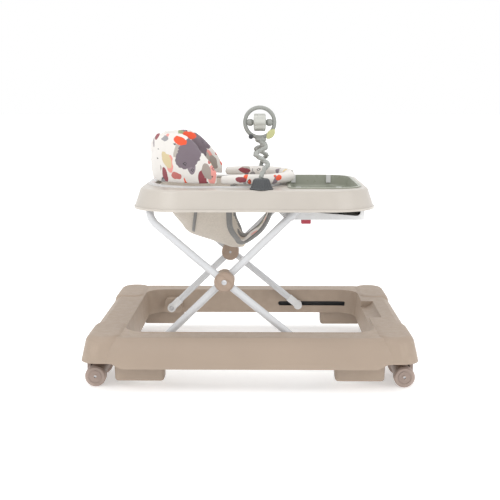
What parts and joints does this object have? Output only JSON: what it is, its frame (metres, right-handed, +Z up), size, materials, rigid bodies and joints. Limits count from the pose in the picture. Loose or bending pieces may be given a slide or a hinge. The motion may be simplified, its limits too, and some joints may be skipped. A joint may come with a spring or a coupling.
{
  "type": "baby walker",
  "caption": "Folding baby walker: ring base on swivel casters, scissor frame, oval tray with play tray, padded hanging seat and a toy bar.",
  "frame": {"origin": "on the floor, at the middle of the base", "axes": "+X forward to the play tray, +Y to the child's left, +Z up"},
  "size_m": [0.7124, 0.6, 0.5842],
  "materials": {
    "base_taupe": "fine satin texture",
    "tray_beige": "soft gloss",
    "play_sage": "soft gloss",
    "white_steel": "powder coated",
    "white_plastic": "satin",
    "hub_taupe": "satin",
    "steel": "zinc plated",
    "wheel": "satin",
    "light_grey": "satin",
    "button_red": "gloss",
    "charcoal": "satin",
    "toy_grey": "satin",
    "fabric_print": "woven cotton print",
    "fabric_plain": "woven cotton",
    "toy_white": "gloss",
    "toy_leaf": "satin"
  },
  "bodies": {
    "base": {"base_shell": "base_taupe", "skid_pads": "base_taupe", "pad_screws": "steel", "slide_track_right": "charcoal", "slide_track_left": "charcoal", "base_bracket_right": "base_taupe", "base_bracket_left": "base_taupe", "base_pivot_pin_right": "steel", "base_pivot_pin_left": "steel"},
    "caster_front_right": {"caster_yoke_front_right": "wheel"},
    "wheels_front_right": {"caster_wheels_front_right": "wheel", "caster_axle_front_right": "steel"},
    "caster_front_left": {"caster_yoke_front_left": "wheel"},
    "wheels_front_left": {"caster_wheels_front_left": "wheel", "caster_axle_front_left": "steel"},
    "caster_rear_right": {"caster_yoke_rear_right": "wheel"},
    "wheels_rear_right": {"caster_wheels_rear_right": "wheel", "caster_axle_rear_right": "steel"},
    "caster_rear_left": {"caster_yoke_rear_left": "wheel"},
    "wheels_rear_left": {"caster_wheels_rear_left": "wheel", "caster_axle_rear_left": "steel"},
    "inner_arms": {"inner_tube_right": "white_steel", "inner_tube_left": "white_steel", "inner_tube_cap_right": "white_plastic", "inner_tube_cap_left": "white_plastic", "hub_cover_inner_right": "hub_taupe", "hub_cover_inner_left": "hub_taupe", "hub_bolt_right": "steel", "hub_bolt_left": "steel", "cross_bar": "white_steel"},
    "outer_arms": {"outer_tube_right": "white_steel", "outer_tube_left": "white_steel", "hub_cover_outer_right": "hub_taupe", "hub_cover_outer_left": "hub_taupe", "slider_cap_right": "white_plastic", "slider_cap_left": "white_plastic", "upper_fitting_right": "white_plastic", "upper_fitting_left": "white_plastic"},
    "tray": {"tray_shell": "tray_beige", "play_tray": "play_sage", "tray_clips": "white_plastic", "track_housing": "light_grey", "tray_bracket_right": "light_grey", "tray_bracket_left": "light_grey", "seat_ring": "light_grey", "backrest_pad": "fabric_print", "collar_pad": "fabric_print", "seat_pouch": "fabric_plain", "toy_cup_right": "charcoal", "toy_cup_left": "charcoal", "toy_stem_right": "toy_grey", "toy_stem_left": "toy_grey", "toy_hoop": "toy_grey", "toy_axle": "steel", "toy_leaves": "toy_leaf"},
    "latch": {"latch_button": "button_red", "latch_spring": "steel"},
    "drum": {"toy_drum": "toy_white"},
    "bead_front": {"toy_bead_front": "toy_grey"},
    "bead_rear": {"toy_bead_rear": "toy_grey"}
  },
  "joints": [
    {"name": "frame_fold", "type": "hinge", "parent": "base", "child": "inner_arms", "pos_m": [-0.204, 0, 0.072], "axis": [0, -1, 0], "range_deg": [-33, 4]},
    {"name": "scissor_hub", "type": "hinge", "parent": "inner_arms", "child": "outer_arms", "pos_m": [-0.054, 0, 0.218], "axis": [0, -1, 0], "range_deg": [-8.5, 64]},
    {"name": "tray_level", "type": "hinge", "parent": "outer_arms", "child": "tray", "pos_m": [-0.211, 0, 0.386], "axis": [0, -1, 0], "range_deg": [-31, 4.5]},
    {"name": "latch_press", "type": "slide", "parent": "tray", "child": "latch", "axis": [0, 0, 1], "range_m": [0, 0.004], "stiffness_N_per_m": 600, "springref_m": -0.001, "deforming": ["latch_spring"]},
    {"name": "drum_spin", "type": "hinge", "parent": "tray", "child": "drum", "pos_m": [0.02, 0, 0.546], "axis": [1, 0, 0], "continuous": true},
    {"name": "bead_front_spin", "type": "hinge", "parent": "tray", "child": "bead_front", "pos_m": [0.0418, 0, 0.546], "axis": [1, 0, 0], "continuous": true},
    {"name": "bead_rear_spin", "type": "hinge", "parent": "tray", "child": "bead_rear", "pos_m": [-0.0018, 0, 0.546], "axis": [1, 0, 0], "continuous": true},
    {"name": "swivel_front_right", "type": "hinge", "parent": "base", "child": "caster_front_right", "pos_m": [0.333, -0.195, 0.07], "axis": [0, 0, 1], "continuous": true},
    {"name": "roll_front_right", "type": "hinge", "parent": "caster_front_right", "child": "wheels_front_right", "pos_m": [0.325, -0.195, 0.022], "axis": [0, 1, 0], "continuous": true},
    {"name": "swivel_front_left", "type": "hinge", "parent": "base", "child": "caster_front_left", "pos_m": [0.333, 0.195, 0.07], "axis": [0, 0, 1], "continuous": true},
    {"name": "roll_front_left", "type": "hinge", "parent": "caster_front_left", "child": "wheels_front_left", "pos_m": [0.325, 0.195, 0.022], "axis": [0, 1, 0], "continuous": true},
    {"name": "swivel_rear_right", "type": "hinge", "parent": "base", "child": "caster_rear_right", "pos_m": [-0.333, -0.195, 0.07], "axis": [0, 0, 1], "continuous": true},
    {"name": "roll_rear_right", "type": "hinge", "parent": "caster_rear_right", "child": "wheels_rear_right", "pos_m": [-0.325, -0.195, 0.022], "axis": [0, 1, 0], "continuous": true},
    {"name": "swivel_rear_left", "type": "hinge", "parent": "base", "child": "caster_rear_left", "pos_m": [-0.333, 0.195, 0.07], "axis": [0, 0, 1], "continuous": true},
    {"name": "roll_rear_left", "type": "hinge", "parent": "caster_rear_left", "child": "wheels_rear_left", "pos_m": [-0.325, 0.195, 0.022], "axis": [0, 1, 0], "continuous": true}
  ],
  "couplings": [
    {"joint": "scissor_hub", "follows": "frame_fold", "ratio": -1.905},
    {"joint": "tray_level", "follows": "frame_fold", "ratio": 0.905}
  ]
}
